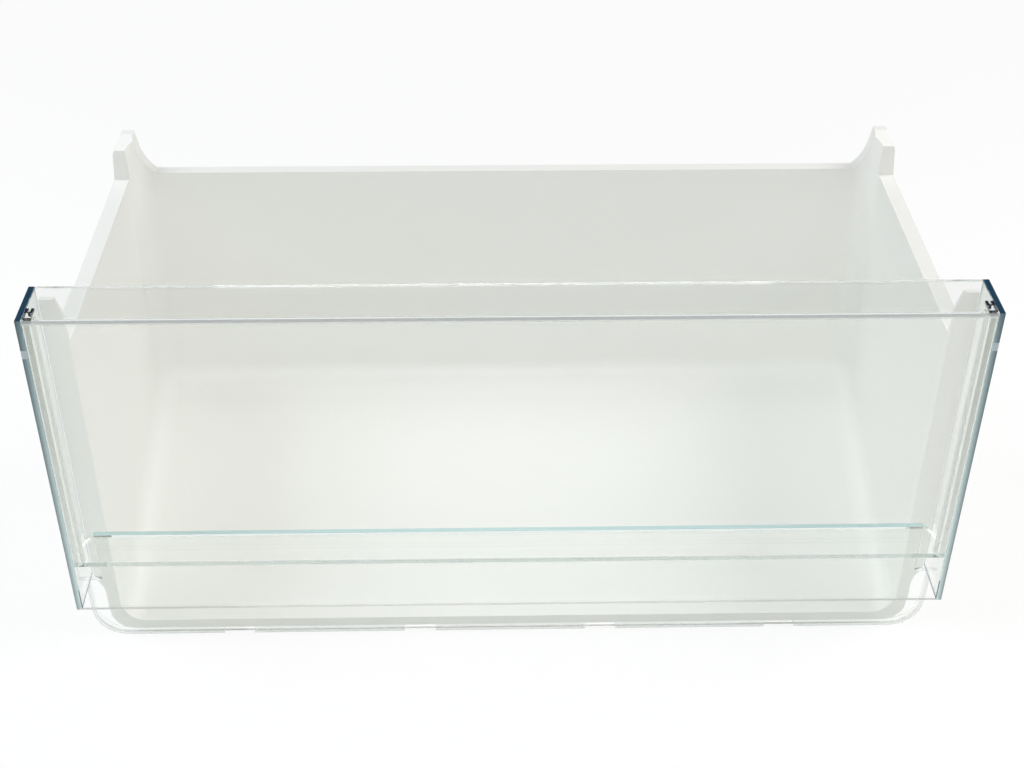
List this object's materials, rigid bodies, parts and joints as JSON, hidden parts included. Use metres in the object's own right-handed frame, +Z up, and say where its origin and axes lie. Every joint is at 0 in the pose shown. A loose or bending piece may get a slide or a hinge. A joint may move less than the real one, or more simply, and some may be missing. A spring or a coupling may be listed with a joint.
{
  "type": "freezer drawer",
  "caption": "Shallow freezer drawer: a white open-fronted tub on side rims, closed by a clear front with a ledge, a shelf and a finger recess.",
  "frame": {"origin": "middle of the drawer's box, on its underside, which is the foot of the clear skirt", "axes": "+X across the drawer to the right seen from the front, +Y to the rear, +Z up; the clear front faces -Y"},
  "size_m": [0.46, 0.205, 0.226],
  "materials": {
    "white_plastic": "satin moulded, high-impact polystyrene",
    "clear_panel": "polished clear with deep blue-green edges",
    "clear_frame": "polished clear",
    "strip": "matte"
  },
  "bodies": {
    "root": {"tub": "white_plastic", "front_panel": "clear_panel", "lower_front": "clear_frame", "corner_strip_left": "strip", "corner_strip_right": "strip"}
  },
  "joints": []
}
